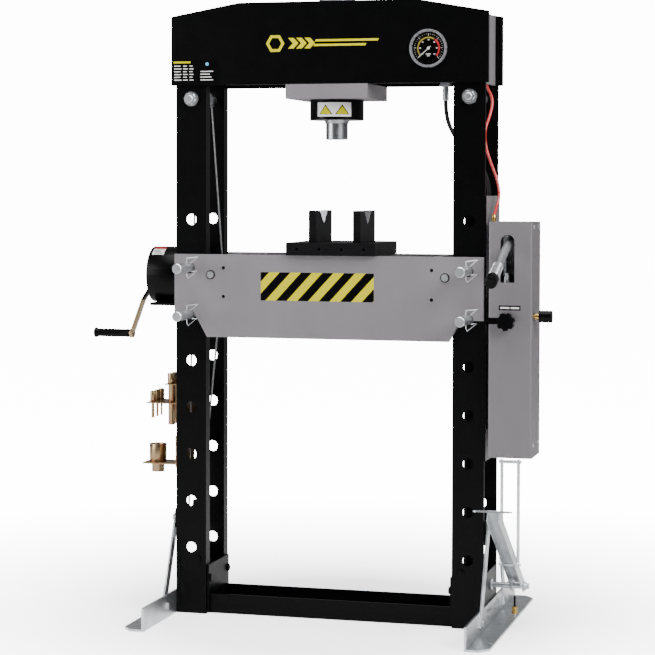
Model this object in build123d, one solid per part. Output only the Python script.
from build123d import *
import math
import os

# Hydraulic shop press, floor standing. Millimetres, +Z up, +X to the right of someone
# facing it, -Y towards them. The origin is on the floor under the ram's axis.

# ---- columns: four posts, one at each corner ----
HOLE_PITCH = 135.0
HOLE_COUNT = 8
FIRST_HOLE_Z = 190.0
COLUMN_X = 405.0            # centre of each column
COLUMN_DEPTH = 203.0        # outside of the front post to outside of the rear post
POST_W = 90.0
POST_T = 8.0
POST_FLANGE = 35.0          # lip folded back along the inner edge
POST_TOP = 1690.0
PIN_D = 28.0
PIN_PLAY = 4.0              # hole over pin, across
PIN_HOLE_D = PIN_D + PIN_PLAY
REST_GAP = 0.3              # between a loose piece and its seat
RUN_CLEAR = 0.05            # radial, shaft in its bore

# ---- head ----
HEAD_HALF = COLUMN_X + 55.0
HEAD_FLAT_HALF = 258.0
HEAD_BOTTOM = 1518.0
HEAD_CORNER = 1714.0
HEAD_TOP = 1750.0
HEAD_T = 15.0
END_PLATE_T = 8.0
END_PLATE_INSET = 19.0
TIE_Z = 1480.0
TIE_D = 20.0

# ---- cylinder and ram ----
RETAINER_SIDE = COLUMN_DEPTH + 2 * HEAD_T + 5.0
RETAINER_T = 41.0
BARREL_D = 154.0
BARREL_BOTTOM = 1419.0
CAP_D = 104.0
CAP_TOP = 1786.0
RAM_D = 63.0
RAM_BOTTOM = 1364.0
NOSE_H = 19.0
NOSE_SPIGOT_D = 24.0
RAM_STROKE = 160.0

# ---- bed ----
BED_HALF = COLUMN_X + 45.0
BED_TOP = 1036.0
BED_BOTTOM = 800.0
BED_T = 15.0
BED_GAP = 1.0               # between bed plates and posts
EAR_HALF = COLUMN_X - 19.0
EAR_BOTTOM = 860.0
BELLY_HALF = COLUMN_X - 53.0
LOWER_PIN_HOLE = 5          # index of the post hole under the bed's ears
SPACER_X = COLUMN_X - 102.0
SPACER_T = 20.0
SPACER_SCREW_Z = (998.0, 916.0)
ROD_X = COLUMN_X - 64.0
ROD_Z = 978.0
ROD_D = 20.0
EYE_R = 15.0                # boss on the left rod that the ropes are tied to
PIN_FRONT = 128.0           # pin sticking out of the front post
PIN_REAR = 34.0
CLIP_WIRE_D = 3.0

# ---- arbor plates and V-blocks on the bed ----
ARBOR_W = 129.0
ARBOR_L = 270.0
ARBOR_T = 36.0
ARBOR_EDGE_X = -113.0       # outer edge of the left plate
V_T = 22.0
V_L = 175.0
V_H = 90.0
V_NOTCH_W = 84.0
V_NOTCH_H = 38.0

# ---- base ----
TRAY_WALL_H = 55.0
TRAY_T = 6.0
TRAY_INSET = 20.0
TRAY_END_H = 140.0
BASE_PLATE_H = 150.0
FOOT_LEG = 65.0
FOOT_T = 6.0
FOOT_L = COLUMN_DEPTH + 553.0
ANCHOR_X = COLUMN_X + 100.0
ANCHOR_Y = FOOT_L / 2 - 91.0
ANCHOR_D = 14.0
BRACE_W = 30.0
BRACE_T = 5.0
BRACE_TOP_Y = (COLUMN_DEPTH / 2 - 39.5, COLUMN_DEPTH / 2 - 25.5)  # inner edge of the lug, bolt
BRACE_TOP_Z = 272.0
BRACE_LUG_Z = (245.0, 300.0)
BRACE_FOOT = (COLUMN_DEPTH / 2 + 83.5, 34.0)  # Y and Z of the lower bolt
BRACE_BOLT_R = 5.0
FOOT_BOLT_Y = (COLUMN_DEPTH / 2 - 61.5, COLUMN_DEPTH / 2 - 27.5)
FOOT_BOLT_Z = 42.0
FOOT_BOLT_R = 6.0
DOME_X = COLUMN_X - 21.0
DOME_Z = 156.0
DOME_SHANK_R = 6.0
DOME_HEAD_R = 11.5
TRAY_BOLT_Y = COLUMN_DEPTH / 2 - 19.5
TRAY_BOLT_Z = 102.0

# ---- winch on the left column ----
DRUM_Z = 973.0
DRUM_R = 22.0
COVER_R = 81.0
COVER_OUT = 101.0           # how far the cover stands out of the column
CRANK_Z = 931.0
GEAR_RATIO = 4.0
ROPE_D = 5.0
SHEAVE_PITCH_R = 27.0
LOW_SHEAVE_R = 15.0
LOW_AXLE_R = 5.0
SHEAVE_W = 14.0
MOUNT_T = 6.0
LAY = 3.5                   # each rope's offset from the middle of the drum
LOW_SHEAVE_Z = 230.0
CRANK_REACH = 134.0
GRIP_L = 110.0
GRIP_D = 24.0

# ---- racks on the left column ----
RACK_REACH = 112.0
RACK_Z = 598.0
RACK_T = 3.0
RAIL_Z = 653.0
SHORT_PUNCH_OUT, LONG_PUNCH_OUT = 98.0, 40.0
PUNCH_Y = (-28.0, 10.0, 46.0)
STEM_D = (9.0, 7.5, 6.0)
BODY_D = (20.0, 18.0, 15.0)
CUP_OUT = 92.0
CUP_SHELF_Z = 422.0
CUP_H = 52.0
CUP_R, CUP_BORE_R, CUP_STUB_R = 25.0, 18.0, 18.5

# ---- pump on the right column ----
PUMP_PLATE_T = 4.0
PUMP_PLATE_Z = (470.0, 1205.0)
COVER_X = (COLUMN_X + 60.0, COLUMN_X + 182.0)
COVER_Y = (-130.0, 6.0)
COVER_Z = (485.0, 1134.0)
SHEET = 2.0
SLOT_X = (COLUMN_X + 94.0, COLUMN_X + 132.5)
SLOT_Z = (968.0, 1099.0)
LEVER_PIVOT_Y = -55.0
LEVER_PIVOT_Z = 1097.0
LEVER_DROP = 20.0           # degrees below level at rest
LEVER_L = 347.0
LEVER_D = 22.0
LEVER_PIN_R = 5.0
LEVER_GRIP_L = 120.0
LEVER_GRIP_D = 34.0
KNOB_X = COLUMN_X + 113.0
KNOB_Z = 862.0
KNOB_D = 50.0
SIDE_KNOB_Y = -105.0
SIDE_KNOB_Z = 875.0

# ---- pedal ----
PEDAL_PIVOT = (10.0, 107.0)
PEDAL_TOE = (-385.0, 365.0)
PEDAL_X = (COLUMN_X + 107.0, COLUMN_X + 140.0)
PEDAL_PIVOT_D = 16.0
PEDAL_ROD_D = 9.0
PEDAL_ROD_Y = -130.0
YOKE_Z = 476.0
LINK_PIN_R = 4.0

# ---- gauge ----
GAUGE_X = 292.0
GAUGE_Z = 1613.0
GAUGE_RING_R = 53.0
GAUGE_BODY_R = 49.0
GAUGE_NEEDLE_L = 36.0
NEEDLE_REST_DEG = 222.0     # from +X towards +Z, as seen from the front

# ---- hoses ----
HYDRAULIC_D = 12.0
AIR_D = 8.0

# ---- worked out ----
FACE = COLUMN_DEPTH / 2
POST_INNER = COLUMN_X - POST_W / 2
POST_OUTER = COLUMN_X + POST_W / 2
CAVITY = FACE - POST_T
BED_FACE = FACE + BED_GAP
PIN_SAG = (PIN_HOLE_D - PIN_D) / 2 - REST_GAP
RETAINER_Z = HEAD_BOTTOM - RETAINER_T


def hole_z(index):
    return FIRST_HOLE_Z + index * HOLE_PITCH


def block(x, y, z):
    """A box between two values on each axis."""
    size = [hi - lo for lo, hi in (x, y, z)]
    return Pos(*[(lo + hi) / 2 for lo, hi in (x, y, z)]) * Box(*size)


def rod(axis, radius, lo, hi, at):
    """A cylinder along one axis; at holds the other two coordinates in X, Y, Z order."""
    shape = Cylinder(radius, hi - lo)
    mid = (lo + hi) / 2
    if axis == "X":
        return Pos(mid, *at) * Rot(0, 90, 0) * shape
    if axis == "Y":
        return Pos(at[0], mid, at[1]) * Rot(90, 0, 0) * shape
    return Pos(*at, mid) * shape


def ring(axis, outer, inner, lo, hi, at):
    return rod(axis, outer, lo, hi, at) - rod(axis, inner, lo - 1, hi + 1, at)


def hexagon(axis, across, lo, hi, at):
    """A hexagonal bolt head or nut."""
    shape = extrude(RegularPolygon(across / 2, 6, major_radius=False), hi - lo)
    if axis == "X":
        return Pos(lo, *at) * Rot(0, 90, 0) * shape
    if axis == "Y":
        return Pos(at[0], hi, at[1]) * Rot(90, 0, 0) * shape
    return Pos(*at, lo) * shape


def plate_xz(points, y_low, y_high):
    """A plate standing across the press, from its outline in X and Z."""
    face = make_face(Polyline(*[(x, 0, z) for x, z in points], close=True))
    return Pos(0, y_low, 0) * extrude(face, amount=y_high - y_low, dir=(0, 1, 0))


def plate_yz(points, x_low, x_high):
    """A plate standing front to back, from its outline in Y and Z."""
    face = make_face(Polyline(*[(0, y, z) for y, z in points], close=True))
    return Pos(x_low, 0, 0) * extrude(face, amount=x_high - x_low, dir=(1, 0, 0))


def bar(start, end, width, thick, lift=(1, 0, 0)):
    """A straight flat bar between two points; lift is the direction of its thickness."""
    run = Vector(*end) - Vector(*start)
    plane = Plane(origin=start, x_dir=lift, z_dir=run.normalized())
    return extrude(plane * Rectangle(thick, width), amount=run.length)


def tube_between(start, end, radius):
    run = Vector(*end) - Vector(*start)
    plane = Plane(origin=start, z_dir=run.normalized())
    return extrude(plane * Circle(radius), amount=run.length)


def sweep_round(path, radius):
    wire = path if isinstance(path, Wire) else Wire(path.edges())
    plane = Plane(origin=wire @ 0, z_dir=wire % 0)
    return sweep(plane * Circle(radius), path=wire)


def hose(name, points, diameter):
    """A hose along straight runs joined by arcs as large as their runs allow."""
    corners = [Vector(*p) for p in points]
    radii = []
    for before, here, after in zip(corners, corners[1:], corners[2:]):
        turn = (here - before).get_angle(after - here)
        shorter = min((here - before).length, (after - here).length)
        radii.append(0.45 * shorter / math.tan(math.radians(turn) / 2))
    path = Wire(FilletPolyline(*points, radius=radii).edges())
    tube = sweep_round(path, diameter / 2)
    print(name, "radii", [round(r) for r in radii], "length", round(path.length, 1),
          "volume ratio", round(tube.volume / (math.pi * diameter**2 / 4 * path.length), 4))
    return tube


def write(node, *pieces):
    solids = [s for piece in pieces for s in piece.solids()]
    export_step(Compound(solids), f"parts/{node}.step")


os.makedirs("parts", exist_ok=True)


# ---------------------------------------------------------------- columns
def post(side, end):
    """One post: side is -1 left or 1 right, end is -1 front or 1 rear."""
    inner, outer = sorted((side * POST_INNER, side * POST_OUTER))
    wall = sorted((end * CAVITY, end * FACE))
    lip_x = sorted((side * POST_INNER, side * (POST_INNER + POST_T)))
    lip_y = sorted((end * (FACE - POST_FLANGE), end * FACE))
    shape = block((inner, outer), wall, (0, POST_TOP)) + block(lip_x, lip_y, (0, POST_TOP))
    lug_x = sorted((side * (POST_OUTER - FOOT_T), side * (POST_OUTER + FOOT_T)))
    lug_y = sorted((end * BRACE_TOP_Y[0], end * CAVITY))
    shape += block(lug_x, lug_y, BRACE_LUG_Z)
    drill = sorted((end * (FACE - POST_FLANGE), end * (FACE + 1)))
    for i in range(HOLE_COUNT):
        shape -= rod("Y", PIN_HOLE_D / 2, *wall_cut(end), (side * COLUMN_X, hole_z(i)))
    shape -= rod("Y", TIE_D / 2, *drill, (side * COLUMN_X, TIE_Z))
    shape -= rod("Y", DOME_SHANK_R, *drill, (side * DOME_X, DOME_Z))
    lip_cut = sorted((side * (POST_INNER - 1), side * (POST_INNER + POST_T + 1)))
    shape -= rod("X", DOME_SHANK_R, *lip_cut, (end * TRAY_BOLT_Y, TRAY_BOLT_Z))
    shape -= rod("X", BRACE_BOLT_R, *sorted((side * (POST_OUTER - 9), side * (POST_OUTER + 9))),
                 (end * BRACE_TOP_Y[1], BRACE_TOP_Z))
    return shape


def wall_cut(end):
    return sorted((end * (CAVITY - 1), end * (FACE + 1)))


SIDES = (("left", -1), ("right", 1))
ENDS = (("front", -1), ("rear", 1))
for side_name, side in SIDES:
    for end_name, end in ENDS:
        write(f"post_{side_name}_{end_name}", post(side, end))


def tie(side):
    """Tie bolt between the posts, with washers, nut and the tubes that space the posts."""
    at = (side * COLUMN_X, TIE_Z)
    washer, head = 3.0, 12.5
    bolt = rod("Y", TIE_D / 2, -FACE - washer, FACE + washer + head + 4, at)
    bolt += hexagon("Y", 30, -FACE - washer - head, -FACE - washer, at)
    nut = hexagon("Y", 30, FACE + washer, FACE + washer + head, at)
    washers = [ring("Y", 19.5, TIE_D / 2, *span, at)
               for span in ((-FACE - washer, -FACE), (FACE, FACE + washer))]
    free = SHEAVE_W / 2 + 1
    spans = [(-CAVITY, CAVITY)] if side > 0 else [(-CAVITY, -free), (free, CAVITY)]
    tubes = [ring("Y", 15, TIE_D / 2 + 0.2, lo, hi, at) for lo, hi in spans]
    return [bolt + nut, *washers, *tubes]


write("column_ties", *tie(-1), *tie(1))


# ---------------------------------------------------------------- head
def head_outline():
    half = [(HEAD_HALF, HEAD_BOTTOM), (HEAD_HALF, HEAD_CORNER), (HEAD_FLAT_HALF, HEAD_TOP)]
    return half + [(-x, z) for x, z in reversed(half)]


front_plate = plate_xz(head_outline(), -FACE - HEAD_T, -FACE)
front_plate -= rod("Y", GAUGE_BODY_R + 0.2, -FACE - HEAD_T - 1, -FACE + 1, (GAUGE_X, GAUGE_Z))
write("head_front_plate", front_plate)
write("head_rear_plate", plate_xz(head_outline(), FACE, FACE + HEAD_T))

end_x = HEAD_HALF - END_PLATE_INSET
end_plates = []
for side in (-1, 1):
    plate = block(sorted((side * (end_x - END_PLATE_T), side * end_x)),
                  (-CAVITY, CAVITY), (HEAD_BOTTOM, HEAD_CORNER))
    slot_cut = sorted((side * (end_x - END_PLATE_T - 1), side * (end_x + 1)))
    plate -= block(slot_cut, (-22, -16), (HEAD_CORNER - 42, HEAD_CORNER - 30))
    end_plates.append(plate)
write("head_end_plates", *end_plates)

half_side = RETAINER_SIDE / 2
retainer = block((-half_side, half_side), (-half_side, half_side), (RETAINER_Z, HEAD_BOTTOM))
retainer -= rod("Z", BARREL_D / 2, RETAINER_Z - 1, HEAD_BOTTOM + 1, (0, 0))
write("retainer_plate", retainer)

ram_top = HEAD_TOP - 50
barrel = rod("Z", BARREL_D / 2, BARREL_BOTTOM, HEAD_TOP - 4, (0, 0))
barrel += rod("Z", CAP_D / 2, HEAD_TOP - 4, CAP_TOP, (0, 0))
barrel += rod("Z", 12, CAP_TOP, CAP_TOP + 14, (-24, 10))
wiper_low = BARREL_BOTTOM - 9
wiper = Cone(RAM_D / 2 + 2, RAM_D / 2 + 4, BARREL_BOTTOM - wiper_low)
barrel += Pos(0, 0, (wiper_low + BARREL_BOTTOM) / 2) * wiper
barrel -= rod("Z", RAM_D / 2 + RUN_CLEAR, wiper_low - 1, ram_top + 5, (0, 0))
write("cylinder_body", barrel)

ram = rod("Z", RAM_D / 2, RAM_BOTTOM + NOSE_H, ram_top, (0, 0))
ram -= rod("Z", NOSE_SPIGOT_D / 2, RAM_BOTTOM + NOSE_H - 1, RAM_BOTTOM + NOSE_H + 25, (0, 0))
write("ram", ram)
nose = rod("Z", RAM_D / 2, RAM_BOTTOM, RAM_BOTTOM + NOSE_H, (0, 0))
nose = chamfer(nose.edges().group_by(Axis.Z)[0], 2)
nose += rod("Z", NOSE_SPIGOT_D / 2 - 0.2, RAM_BOTTOM + NOSE_H, RAM_BOTTOM + NOSE_H + 24, (0, 0))
write("ram_nose", nose)

# ---------------------------------------------------------------- gauge
plate_front = -FACE - HEAD_T
gauge_at = (GAUGE_X, GAUGE_Z)
dial_y = plate_front - 0.5
case = rod("Y", GAUGE_BODY_R, dial_y, plate_front + 30, gauge_at)
case += ring("Y", GAUGE_RING_R, GAUGE_RING_R - 7, plate_front - 7.5, plate_front, gauge_at)
case += rod("Y", 1.0, dial_y - 3.5, dial_y, gauge_at)
case += rod("Y", 9, plate_front + 30, plate_front + 52, (GAUGE_X, GAUGE_Z))
write("gauge_case", case)
write("gauge_lens", rod("Y", GAUGE_RING_R - 7, plate_front - 6.4, plate_front - 5, gauge_at))
needle_y = (dial_y - 2.6, dial_y - 1.8)
pointer = block((-9, GAUGE_NEEDLE_L), needle_y, (-0.9, 0.9)) + rod("Y", 4, *needle_y, (0, 0))
pointer -= rod("Y", 1.0 + RUN_CLEAR, needle_y[0] - 1, needle_y[1] + 1, (0, 0))
write("gauge_needle", Pos(GAUGE_X, 0, GAUGE_Z) * Rot(0, -NEEDLE_REST_DEG, 0) * pointer)


# ---------------------------------------------------------------- bed
def bed_plate(end):
    """Front (-1) or rear (1) plate of the bed, half-round saddles on the lower pins."""
    half = [(BED_HALF, BED_TOP), (BED_HALF, EAR_BOTTOM), (EAR_HALF, EAR_BOTTOM),
            (BELLY_HALF, BED_BOTTOM)]
    outline = half + [(-x, z) for x, z in reversed(half)]
    y = sorted((end * BED_FACE, end * (BED_FACE + BED_T)))
    cut = (y[0] - 1, y[1] + 1)
    shape = plate_xz(outline, *y)
    for side in (-1, 1):
        for i in (LOWER_PIN_HOLE, LOWER_PIN_HOLE + 1):
            shape -= rod("Y", PIN_HOLE_D / 2, *cut, (side * COLUMN_X, hole_z(i) - 2 * PIN_SAG))
        shape -= rod("Y", ROD_D / 2, *cut, (side * ROD_X, ROD_Z))
        for z in SPACER_SCREW_Z:
            shape -= rod("Y", 5, *cut, (side * SPACER_X, z))
    return shape


write("bed_front_plate", bed_plate(-1))
write("bed_rear_plate", bed_plate(1))
spacers = []
for side in (-1, 1):
    spacer = block((side * SPACER_X - SPACER_T / 2, side * SPACER_X + SPACER_T / 2),
                   (-BED_FACE, BED_FACE), (BED_BOTTOM + 20, BED_TOP - 2))
    for z in SPACER_SCREW_Z:
        for end in (-1, 1):
            mouth = sorted((end * (BED_FACE - 18), end * (BED_FACE + 1)))
            spacer -= rod("Y", 4.2, *mouth, (side * SPACER_X, z))
    spacers.append(spacer)
write("bed_spacers", *spacers)

rod_y = BED_FACE + BED_T + 4
rods = [rod("Y", ROD_D / 2, -rod_y, rod_y, (side * ROD_X, ROD_Z)) for side in (-1, 1)]
rods[0] += rod("Y", EYE_R, -5, 5, (-ROD_X, ROD_Z))
write("bed_rods", *rods)


def pin_clip(x, z):
    """Spring wire clip through a cross hole in the pin, bent to a triangle beyond it."""
    y = -BED_FACE - BED_T - 22
    r = CLIP_WIRE_D / 2
    top, tip, low = (x, y, z + 26), (x + 30, y + 6, z + 30), (x + 12, y, z + 14)
    legs = tube_between((x, y, z - 24), top, r)
    for a, b in ((top, tip), (tip, low)):
        legs += tube_between(a, b, r) + Pos(*a) * Sphere(r)
    return legs + Pos(*low) * Sphere(r)


for side_name, side in SIDES:
    for level, i in (("lower", LOWER_PIN_HOLE), ("upper", LOWER_PIN_HOLE + 1)):
        x, z = side * COLUMN_X, hole_z(i) - PIN_SAG
        pin = rod("Y", PIN_D / 2, -FACE - PIN_FRONT, FACE + BED_GAP + BED_T + PIN_REAR, (x, z))
        pin = chamfer(pin.faces().sort_by(Axis.Y)[0].edges(), 1.5)
        clip_y = -BED_FACE - BED_T - 22
        pin -= rod("Z", CLIP_WIRE_D / 2 + 0.2, z - 20, z + 20, (x, clip_y))
        write(f"bed_pin_{side_name}_{level}", pin, pin_clip(x, z))

for name, low_x in (("left", ARBOR_EDGE_X), ("right", ARBOR_EDGE_X + ARBOR_W + REST_GAP)):
    plate = block((low_x, low_x + ARBOR_W), (-ARBOR_L / 2, ARBOR_L / 2),
                  (BED_TOP, BED_TOP + ARBOR_T))
    for dx in (32, ARBOR_W - 32):
        plate -= rod("Y", 4, -ARBOR_L / 2 - 1, -ARBOR_L / 2 + 18, (low_x + dx, BED_TOP + ARBOR_T / 2))
    write(f"arbor_plate_{name}", plate)
    mid = low_x + ARBOR_W / 2
    base = BED_TOP + ARBOR_T
    notch = V_NOTCH_W / 2
    profile = [(-V_L / 2, base), (V_L / 2, base), (V_L / 2, base + V_H), (notch, base + V_H),
               (0, base + V_H - V_NOTCH_H), (-notch, base + V_H), (-V_L / 2, base + V_H)]
    write(f"v_block_{name}", plate_yz(profile, mid - V_T / 2, mid + V_T / 2))

# ---------------------------------------------------------------- base
wall_y = FACE - TRAY_INSET
tray = block((-POST_INNER, POST_INNER), (-wall_y, wall_y), (0, TRAY_T))
for end in (-1, 1):
    y = sorted((end * wall_y, end * (wall_y - TRAY_T)))
    tray += block((-POST_INNER + TRAY_T, POST_INNER - TRAY_T), y, (0, TRAY_WALL_H))
for side in (-1, 1):
    x = sorted((side * POST_INNER, side * (POST_INNER - TRAY_T)))
    gusset = block(x, (-FACE + 8, FACE - 8), (TRAY_T, TRAY_END_H))
    for end in (-1, 1):
        gusset -= rod("X", DOME_SHANK_R, x[0] - 1, x[1] + 1, (end * TRAY_BOLT_Y, TRAY_BOLT_Z))
    tray += gusset
write("base_tray", tray)

base_plates, feet = [], []
for side in (-1, 1):
    x = sorted((side * POST_OUTER, side * (POST_OUTER - FOOT_T)))
    cut = (min(x) - 7, max(x) + 7)
    plate = block(x, (-CAVITY, CAVITY), (0, BASE_PLATE_H))
    leg = block(sorted((side * POST_OUTER, side * (POST_OUTER + FOOT_T))),
                (-FOOT_L / 2, FOOT_L / 2), (0, FOOT_LEG))
    sole = [(side * POST_OUTER, -FOOT_L / 2), (side * (POST_OUTER + FOOT_LEG - 25), -FOOT_L / 2),
            (side * (POST_OUTER + FOOT_LEG), -FOOT_L / 2 + 30),
            (side * (POST_OUTER + FOOT_LEG), FOOT_L / 2 - 30),
            (side * (POST_OUTER + FOOT_LEG - 25), FOOT_L / 2), (side * POST_OUTER, FOOT_L / 2)]
    foot = leg + extrude(make_face(Polyline(*sole, close=True)), amount=FOOT_T, dir=(0, 0, 1))
    for end in (-1, 1):
        for y in FOOT_BOLT_Y:
            plate -= rod("X", FOOT_BOLT_R, *cut, (end * y, FOOT_BOLT_Z))
            foot -= rod("X", FOOT_BOLT_R, *cut, (end * y, FOOT_BOLT_Z))
        foot -= rod("Z", ANCHOR_D / 2, -1, FOOT_T + 1, (side * ANCHOR_X, end * ANCHOR_Y))
        foot -= rod("X", BRACE_BOLT_R, *cut, (end * BRACE_FOOT[0], BRACE_FOOT[1]))
    if side > 0:
        plate -= rod("X", PEDAL_PIVOT_D / 2, *cut, PEDAL_PIVOT)
    base_plates.append(plate)
    feet.append(foot)
write("column_base_plates", *base_plates)
write("feet", *feet)


def brace(side, end):
    """Flat strut from the foot's upright leg to the lug on the post's outer edge."""
    x = side * (POST_OUTER + FOOT_T + BRACE_T / 2)
    low = Vector(x, end * BRACE_FOOT[0], BRACE_FOOT[1])
    high = Vector(x, end * BRACE_TOP_Y[1], BRACE_TOP_Z)
    along = (high - low).normalized() * 14
    shape = bar(tuple(low - along), tuple(high + along), BRACE_W, BRACE_T)
    for y, z in (BRACE_FOOT, (BRACE_TOP_Y[1], BRACE_TOP_Z)):
        shape -= rod("X", BRACE_BOLT_R, *sorted((side * (POST_OUTER - 2), side * (POST_OUTER + 30))),
                     (end * y, z))
    return shape


write("foot_braces", *[brace(side, end) for side in (-1, 1) for end in (-1, 1)])


def side_bolt(side, y, z, radius, inner, outer):
    """Hexagon bolt along X: its head stands on the outer face, its nut on the inner one."""
    head, across = radius * 1.3, radius * 3.2
    x0, x1 = sorted((side * (inner - head - 1), side * outer))
    bolt = rod("X", radius, x0, x1, (y, z))
    bolt += hexagon("X", across, *sorted((side * outer, side * (outer + head))), (y, z))
    bolt += hexagon("X", across, *sorted((side * inner, side * (inner - head))), (y, z))
    return bolt


def dome_bolt(axis, lo, hi, at, sign):
    """Round-headed bolt: the head is on the sign side, the nut on the other."""
    head_at = hi if sign > 0 else lo
    nut_at = lo if sign > 0 else hi
    bolt = rod(axis, DOME_SHANK_R, lo, hi, at)
    bolt += rod(axis, DOME_HEAD_R, *sorted((head_at, head_at + sign * 3)), at)
    bolt += rod(axis, DOME_HEAD_R - 2.5, *sorted((head_at + sign * 3, head_at + sign * 6)), at)
    return bolt + hexagon(axis, 19, *sorted((nut_at, nut_at - sign * 9)), at)


bolts = []
for side in (-1, 1):
    for end in (-1, 1):
        for y in FOOT_BOLT_Y:
            bolts.append(side_bolt(side, end * y, FOOT_BOLT_Z, FOOT_BOLT_R,
                                   POST_OUTER - FOOT_T, POST_OUTER + FOOT_T))
        bolts.append(side_bolt(side, end * BRACE_FOOT[0], BRACE_FOOT[1], BRACE_BOLT_R,
                               POST_OUTER, POST_OUTER + FOOT_T + BRACE_T))
        bolts.append(side_bolt(side, end * BRACE_TOP_Y[1], BRACE_TOP_Z, BRACE_BOLT_R,
                               POST_OUTER - FOOT_T, POST_OUTER + FOOT_T + BRACE_T))
        bolts.append(dome_bolt("Y", *sorted((end * CAVITY, end * FACE)),
                               (side * DOME_X, DOME_Z), end))
        span = sorted((side * (POST_INNER - TRAY_T), side * (POST_INNER + POST_T)))
        bolts.append(dome_bolt("X", *span, (end * TRAY_BOLT_Y, TRAY_BOLT_Z), -side))
write("base_bolts", *bolts)

# ---------------------------------------------------------------- winch
column_out = -POST_OUTER
drum_at = (-DRUM_R - ROPE_D / 2, DRUM_Z)
crank_at = (0.0, CRANK_Z)
mesh = math.hypot(drum_at[0] - crank_at[0], drum_at[1] - crank_at[1])
pinion_r = mesh / (1 + GEAR_RATIO)
gear_r = mesh - pinion_r
drum_shaft_r, crank_shaft_r = 6.0, 7.0
cover_x = (column_out - COVER_OUT, column_out)
floor_z = DRUM_Z - COVER_R

mount = block((column_out, column_out + MOUNT_T), (-CAVITY, CAVITY), (floor_z - 12, DRUM_Z + 87))
mount += block((cover_x[0] + 6, column_out), (-62, 62), (floor_z - 8, floor_z))
for at, r in ((drum_at, drum_shaft_r), (crank_at, crank_shaft_r)):
    mount -= rod("X", r + RUN_CLEAR, column_out - 1, column_out + MOUNT_T + 1, at)
mount += side_bolt(1, -30, floor_z + 20, 4, column_out + MOUNT_T, column_out + MOUNT_T)
mount += rod("Z", 9, floor_z - 16, floor_z - 8, (column_out - 12, -20))
write("winch_base", mount)

cover = rod("X", COVER_R, *cover_x, (0, DRUM_Z))
cover -= rod("X", COVER_R - 3, cover_x[0] + 3, cover_x[1] + 1, (0, DRUM_Z))
cover -= rod("X", crank_shaft_r + RUN_CLEAR, cover_x[0] - 1, cover_x[0] + 4, crank_at)
write("winch_cover", cover)

gear_x = (column_out - 34, column_out - 22)
drum_x = (column_out + MOUNT_T + 2, column_out + MOUNT_T + 22)
drum = rod("X", drum_shaft_r, gear_x[0] - 4, drum_x[1] + 4, drum_at)
drum += rod("X", gear_r - 0.15, *gear_x, drum_at)
drum += rod("X", DRUM_R - 0.3, *drum_x, drum_at)
for lo, hi in ((drum_x[0], drum_x[0] + 3), (drum_x[1] - 3, drum_x[1])):
    drum += rod("X", DRUM_R + 9, lo, hi, drum_at)
write("winch_drum", drum)

shaft_out = cover_x[0] - 18
crank_shaft = rod("X", crank_shaft_r, shaft_out, column_out + MOUNT_T + 1, crank_at)
crank_shaft += rod("X", pinion_r - 0.15, *gear_x, crank_at)
crank_shaft += ring("X", 11, crank_shaft_r, cover_x[0] - 6, cover_x[0] - REST_GAP, crank_at)
write("crank_shaft", crank_shaft)

# The arm starts as a flat square on the shaft's end, then leans outwards as it drops.
arm_w, arm_t = 24.0, 8.0
arm_x = shaft_out + arm_t / 2
elbow = (arm_x - 22, 0, CRANK_Z - 34)
arm_end = (arm_x - 58, 0, CRANK_Z - CRANK_REACH)
arm = rod("X", 16, shaft_out, shaft_out + arm_t, crank_at)
arm += bar((arm_x, 0, CRANK_Z), elbow, arm_w, arm_t, lift=(1, 0, 0))
arm += rod("Y", arm_t / 2, -arm_w / 2, arm_w / 2, (elbow[0], elbow[2]))
arm += bar(elbow, arm_end, arm_w, arm_t, lift=(1, 0, 0))
arm += rod("X", 13, arm_end[0] - 5, arm_end[0] + 5, (0, arm_end[2]))
arm -= rod("X", crank_shaft_r, shaft_out - 30, shaft_out + arm_t, crank_at)
grip_x = (arm_end[0] - 8 - GRIP_L, arm_end[0] - 8)
stud_r = 5.0
arm += rod("X", stud_r, grip_x[0] + 3, grip_x[1] + 8, (0, arm_end[2]))
arm += rod("X", stud_r + 3, grip_x[0] - 1 + 4, grip_x[0] + 7, (0, arm_end[2]))
write("crank_arm", arm)
grip = rod("X", GRIP_D / 2, *grip_x, (0, arm_end[2]))
grip += rod("X", GRIP_D / 2 + 3, grip_x[0], grip_x[0] + 10, (0, arm_end[2]))
grip -= rod("X", stud_r + RUN_CLEAR, grip_x[0] + 1, grip_x[1] + 1, (0, arm_end[2]))
grip -= rod("X", stud_r + 3.3, grip_x[0] + 2.7, grip_x[0] + 7.3, (0, arm_end[2]))
write("crank_grip", grip)


def sheave(radius, bore, width, at):
    """Grooved wheel along Y; radius is to the rope's centre."""
    wheel = rod("Y", radius + 4, -width / 2, width / 2, at)
    groove = Pos(at[0], 0, at[1]) * Rot(90, 0, 0) * Torus(radius, ROPE_D / 2 + REST_GAP)
    lip = ring("Y", radius + 5, radius, -ROPE_D / 2 - REST_GAP, ROPE_D / 2 + REST_GAP, at)
    return wheel - groove - lip - rod("Y", bore, -width, width, at)


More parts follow.
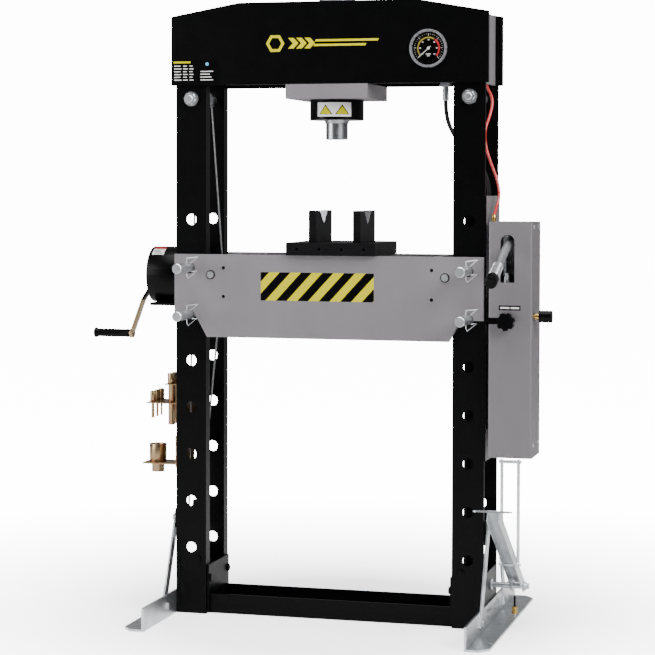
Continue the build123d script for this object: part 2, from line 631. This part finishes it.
top_sheave_at = (-COLUMN_X, TIE_Z)
low_sheave_at = (-COLUMN_X - SHEAVE_PITCH_R, LOW_SHEAVE_Z)
write("top_sheave", sheave(SHEAVE_PITCH_R, TIE_D / 2 + RUN_CLEAR, SHEAVE_W, top_sheave_at))
write("low_sheave", sheave(LOW_SHEAVE_R, LOW_AXLE_R + RUN_CLEAR, SHEAVE_W, low_sheave_at))
low_x, low_z = low_sheave_at
bridge_z = (low_z + LOW_SHEAVE_R + 8, low_z + LOW_SHEAVE_R + 16)
bracket = block((low_x - 6, low_x + 6), (-CAVITY, CAVITY), bridge_z)
for end in (-1, 1):
    ear_y = sorted((end * (SHEAVE_W / 2 + 1), end * (SHEAVE_W / 2 + 6)))
    bracket += block((low_x - 6, low_x + 6), ear_y, (low_z - 10, bridge_z[0]))
bracket += rod("Y", LOW_AXLE_R, -SHEAVE_W / 2 - 8, SHEAVE_W / 2 + 8, low_sheave_at)
write("low_sheave_bracket", bracket)


def tangent(centre, radius, outside, turn):
    """Where a rope from a point outside touches a sheave; turn is 1 or -1."""
    dx, dz = outside[0] - centre[0], outside[1] - centre[1]
    away = math.atan2(dz, dx) + turn * math.acos(radius / math.hypot(dx, dz))
    return (centre[0] + radius * math.cos(away), centre[1] + radius * math.sin(away))


def rope_over(centre, radius, bed_touch, drum_point, top):
    """Fixed stretch of rope: round a sheave, then straight to the drum."""
    drum_touch = tangent(centre, radius, drum_point, -top)
    crown = (centre[0], centre[1] + top * radius)
    arc = ThreePointArc((bed_touch[0], 0, bed_touch[1]), (crown[0], 0, crown[1]),
                        (drum_touch[0], 0, drum_touch[1]))
    run = Line((drum_touch[0], 0, drum_touch[1]), (drum_point[0], 0, drum_point[1]))
    return sweep_round(Wire([arc.edge(), run.edge()]), ROPE_D / 2)


rod_at = (-ROD_X, ROD_Z)
drum_mid = (drum_x[0] + drum_x[1]) / 2
top_touch = tangent(top_sheave_at, SHEAVE_PITCH_R, rod_at, 1)
low_touch = tangent(low_sheave_at, LOW_SHEAVE_R, rod_at, -1)
write("rope_fixed",
      rope_over(top_sheave_at, SHEAVE_PITCH_R, top_touch, (drum_mid + LAY, DRUM_Z), 1),
      rope_over(low_sheave_at, LOW_SHEAVE_R, low_touch, (drum_mid - LAY, DRUM_Z), -1))


def rope_to_bed(touch):
    """Straight rope from a sheave to the eye on the bed's rod."""
    start, centre = Vector(touch[0], 0, touch[1]), Vector(rod_at[0], 0, rod_at[1])
    reach = (centre - start).length - EYE_R - REST_GAP
    return tube_between(tuple(start), tuple(start + (centre - start).normalized() * reach),
                        ROPE_D / 2)


write("upper_rope", rope_to_bed(top_touch))
write("lower_rope", rope_to_bed(low_touch))

# ---------------------------------------------------------------- racks on the left column
rack_low, rack_high = RACK_Z - RACK_T / 2, RACK_Z + RACK_T / 2
rack_y = (-48.0, 62.0)
rack = block((column_out - RACK_REACH, column_out), rack_y, (rack_low, rack_high))
rack += block((column_out - RACK_T, column_out), (-CAVITY - 4, CAVITY + 4), (rack_low - 34, RAIL_Z + 7))
rack += block((column_out - 56, column_out), rack_y, (RAIL_Z - RACK_T / 2, RAIL_Z + RACK_T / 2))
short_x, long_x = column_out - SHORT_PUNCH_OUT, column_out - LONG_PUNCH_OUT
punches = []
for y, stem_d, body_d in zip(PUNCH_Y, STEM_D, BODY_D):
    rack -= rod("Z", stem_d / 2 + 0.5, rack_low - 1, rack_high + 1, (short_x, y))
    punches.append(rod("Z", 8.5, rack_high, rack_high + 32, (short_x, y))
                   + rod("Z", stem_d / 2, rack_low - 44, rack_high, (short_x, y)))
    for z in (RACK_Z, RAIL_Z):
        rack -= rod("Z", body_d / 2 + 0.5, z - 3, z + 3, (long_x, y))
    shoulder = RAIL_Z + RACK_T / 2
    punches.append(rod("Z", body_d / 2, rack_low - 62, shoulder, (long_x, y))
                   + rod("Z", body_d / 2 + 2, shoulder, shoulder + 30, (long_x, y)))
write("punch_rack", rack)
write("punches", *punches)

cup_x = column_out - CUP_OUT
holder = block((column_out - 4, column_out), (-CAVITY - 4, 60), (CUP_SHELF_Z - 4, 510))
holder += block((cup_x - 34, column_out), (-40, 40), (CUP_SHELF_Z - 4, CUP_SHELF_Z))
holder -= rod("X", 9, column_out - 5, column_out + 1, (-60, 486))
holder -= rod("Z", CUP_STUB_R + 0.5, CUP_SHELF_Z - 5, CUP_SHELF_Z + 1, (cup_x, 0))
write("cup_holder", holder)
cup = rod("Z", CUP_R, CUP_SHELF_Z, CUP_SHELF_Z + CUP_H, (cup_x, 0))
cup += rod("Z", CUP_STUB_R, CUP_SHELF_Z - 30, CUP_SHELF_Z, (cup_x, 0))
cup -= rod("Z", CUP_BORE_R, CUP_SHELF_Z + 12, CUP_SHELF_Z + CUP_H + 1, (cup_x, 0))
write("press_cup", cup)

# ---------------------------------------------------------------- pump
plate_x = (POST_OUTER, POST_OUTER + PUMP_PLATE_T)
write("pump_plate", block(plate_x, (-FACE, FACE), PUMP_PLATE_Z))

# Open at the bottom and towards the column; the back wall runs on to the pump plate.
shell = block(COVER_X, COVER_Y, COVER_Z)
shell = fillet(shell.edges().filter_by(Axis.Z).group_by(Axis.Y)[0], 6)
shell -= block((COVER_X[0] - 1, COVER_X[1] - SHEET), (COVER_Y[0] + SHEET, COVER_Y[1] - SHEET),
               (COVER_Z[0] - 1, COVER_Z[1] - SHEET))
shell += block((plate_x[1], COVER_X[0]), (COVER_Y[1] - SHEET, COVER_Y[1]), COVER_Z)
slot_r = (SLOT_X[1] - SLOT_X[0]) / 2
slot_mid = (SLOT_X[0] + SLOT_X[1]) / 2
through = (COVER_Y[0] - 1, COVER_Y[0] + SHEET + 1)
shell -= block(SLOT_X, through, (SLOT_Z[0], SLOT_Z[1] - slot_r))
shell -= rod("Y", slot_r, *through, (slot_mid, SLOT_Z[1] - slot_r))
shell -= block((COVER_X[0] - 1, KNOB_X), through, (KNOB_Z - 9, KNOB_Z + 9))
shell -= rod("Y", 9, *through, (KNOB_X, KNOB_Z))
shell -= rod("X", 10, COVER_X[1] - 3, COVER_X[1] + 1, (SIDE_KNOB_Y, SIDE_KNOB_Z))
write("pump_cover", shell)

tank_x = (plate_x[1], COVER_X[1] - SHEET - 6)
tank = block(tank_x, (-92, -4), (560, 890))
pump = tank + block((plate_x[1], COVER_X[1] - 17), (-88, -22), (890, 985))
ears = ((slot_mid - 22, slot_mid - 14), (slot_mid + 14, slot_mid + 22))
for ear in ears:
    pump += block(ear, (LEVER_PIVOT_Y - 16, LEVER_PIVOT_Y + 16), (985, LEVER_PIVOT_Z + 16))
pump += rod("X", LEVER_PIN_R, ears[0][0] - 4, ears[1][1] + 4, (LEVER_PIVOT_Y, LEVER_PIVOT_Z))
valve_y = COVER_Y[0] + SHEET + 4
pump += block((KNOB_X - 16, KNOB_X + 16), (valve_y, -92), (KNOB_Z - 16, KNOB_Z + 16))
pump += block((COVER_X[1] - 35, COVER_X[1] - SHEET - 6), (SIDE_KNOB_Y - 14, -92),
              (SIDE_KNOB_Z - 14, SIDE_KNOB_Z + 14))
pump -= rod("Y", 5 + RUN_CLEAR, valve_y - 1, valve_y + 24, (KNOB_X, KNOB_Z))
pump -= rod("X", 5 + RUN_CLEAR, COVER_X[1] - 26, COVER_X[1], (SIDE_KNOB_Y, SIDE_KNOB_Z))
write("pump_body", pump)

# The lever points forwards from its pivot and drops by LEVER_DROP at rest.
lever_frame = Pos(slot_mid, LEVER_PIVOT_Y, LEVER_PIVOT_Z) * Rot(LEVER_DROP, 0, 0)
lever = rod("X", 13, -13.5, 13.5, (0, 0)) + rod("Y", LEVER_D / 2, -LEVER_L, 0, (0, 0))
lever -= rod("X", LEVER_PIN_R + RUN_CLEAR, -15, 15, (0, 0))
write("hand_lever", lever_frame * lever)
lever_grip = rod("Y", LEVER_GRIP_D / 2, -LEVER_L - 4, -LEVER_L + LEVER_GRIP_L, (0, 0))
lever_grip -= rod("Y", LEVER_D / 2, -LEVER_L, -LEVER_L + LEVER_GRIP_L + 1, (0, 0))
write("lever_grip", lever_frame * lever_grip)

knob_y = (COVER_Y[0] - 34, COVER_Y[0] - 12)
knob = rod("Y", KNOB_D / 2, *knob_y, (KNOB_X, KNOB_Z))
for i in range(7):
    around = math.radians(90 + i * 360 / 7)
    notch_at = (KNOB_X + math.cos(around) * KNOB_D * 0.56, KNOB_Z + math.sin(around) * KNOB_D * 0.56)
    knob -= rod("Y", 7, knob_y[0] - 1, knob_y[1] + 1, notch_at)
knob += rod("Y", 10, knob_y[1], COVER_Y[0] - 4, (KNOB_X, KNOB_Z))
knob += rod("Y", 5, COVER_Y[0] - 4, valve_y + 20, (KNOB_X, KNOB_Z))
write("release_knob", knob)

side_at = (SIDE_KNOB_Y, SIDE_KNOB_Z)
air_knob = rod("X", 16.5, COVER_X[1] + 16, COVER_X[1] + 51, side_at)
air_knob += rod("X", 5, COVER_X[1] - 22, COVER_X[1] + 16, side_at)
air_knob += rod("X", 9, COVER_X[1] + 6, COVER_X[1] + 16, side_at)
write("air_knob", air_knob)

# ---------------------------------------------------------------- pedal
pivot_y, pivot_z = PEDAL_PIVOT
toe_y, toe_z = PEDAL_TOE
pivot_r = PEDAL_PIVOT_D / 2
pivot = rod("X", pivot_r, POST_OUTER - FOOT_T, PEDAL_X[1] + 14, PEDAL_PIVOT)
pivot += rod("X", 15, POST_OUTER, POST_OUTER + 4, PEDAL_PIVOT)
pivot += rod("X", 12, PEDAL_X[0] - 6, PEDAL_X[0] - 2, PEDAL_PIVOT)
pivot += rod("X", 12, PEDAL_X[1] + 2, PEDAL_X[1] + 6, PEDAL_PIVOT)
stop_at = (COLUMN_X + 104, 66)
stop = rod("Z", 3, FOOT_T, 66, stop_at) + rod("Z", 8, FOOT_T + 10, FOOT_T + 30, stop_at)
write("pedal_pivot", pivot, stop)

arm_wall = 3.0
length = math.hypot(toe_y - pivot_y, toe_z - pivot_z)
rise = math.degrees(math.atan2(toe_z - pivot_z, pivot_y - toe_y))
pedal_frame = Pos(0, pivot_y, pivot_z) * Rot(-rise, 0, 0)
channel = block(PEDAL_X, (-length, 0), (-16, 16)) + rod("X", 16, *PEDAL_X, (0, 0))
channel -= block((PEDAL_X[0] + arm_wall, PEDAL_X[1] - arm_wall), (-length - 1, 20), (-20, 16 - arm_wall))
channel -= rod("X", pivot_r + RUN_CLEAR, PEDAL_X[0] - 1, PEDAL_X[1] + 1, (0, 0))
pedal = pedal_frame * channel
pad_mid = (PEDAL_X[0] + PEDAL_X[1]) / 2
pad = block((pad_mid - 47, pad_mid + 47), (-50, 34), (0, 4))
pad = fillet(pad.edges().filter_by(Axis.Z), 12)
pedal += Pos(0, toe_y, toe_z + 10) * Rot(-8, 0, 0) * pad
link = (PEDAL_ROD_Y, pivot_z + (pivot_y - PEDAL_ROD_Y) * math.tan(math.radians(rise)) - 6)
rod_x = (PEDAL_X[0] - 2 - PEDAL_ROD_D / 2, PEDAL_X[1] + 2 + PEDAL_ROD_D / 2)
pedal += rod("X", LINK_PIN_R, rod_x[0] - 8, rod_x[1] + 8, link)
write("pedal_arm", pedal)

links = rod("X", 5, rod_x[0] - 8, rod_x[1] + 8, (PEDAL_ROD_Y, YOKE_Z))
for x in rod_x:
    links += rod("Z", PEDAL_ROD_D / 2, link[1] + 5, YOKE_Z + 6, (x, PEDAL_ROD_Y))
    links += ring("X", LINK_PIN_R + 3.5, LINK_PIN_R + RUN_CLEAR, x - 1.8, x + 1.8, link)
write("pedal_rods", links)

# ---------------------------------------------------------------- hoses
# Each point: X from the column's centre, Y, Z.
HYDRAULIC_RUN = [(-88, 0, 1473), (-88, 0, 1425), (-60, 8, 1365), (-7, 20, 1318),
                 (29, 32, 1255), (32, 36, 1170), (29, 35, 1090), (31, 34, 1010)]
AIR_RUN = [(19, 20, 1560), (22, 22, 1515), (42, 34, 1478), (36, 20, 1432), (23, 6, 1392),
           (25, 3, 1346), (41, 4, 1296), (61, 6, 1246), (69, -8, 1200), (65, -44, 1172),
           (67, -80, 1150)]
hydraulic = [(COLUMN_X + dx, y, z) for dx, y, z in HYDRAULIC_RUN]
air = [(COLUMN_X + dx, y, z) for dx, y, z in AIR_RUN]
x, y, z = hydraulic[0]
crimp = rod("Z", 9, z, HEAD_BOTTOM - 6, (x, y)) + block((x - 14, x + 14), (y - 14, y + 14),
                                                        (HEAD_BOTTOM - 6, HEAD_BOTTOM + 30))
crimp += block((x - 14, x + 14), (-FACE, y), (HEAD_BOTTOM + 4, HEAD_BOTTOM + 30))
x, y, z = hydraulic[-1]
elbow_block = block((x - 10, POST_OUTER), (y - 10, y + 10), (z - 22, z))
write("hydraulic_hose", hose("hydraulic_hose", hydraulic, HYDRAULIC_D), crimp, elbow_block)

x, y, z = air[0]
union = block((x - 10, end_x - END_PLATE_T), (y - 10, y + 10), (z, z + 22))
x, y, z = air[-1]
inlet = rod("Z", 7, COVER_Z[1], z + 4, (x, y - 5))
write("air_hose", hose("air_hose", air, AIR_D), union, inlet)
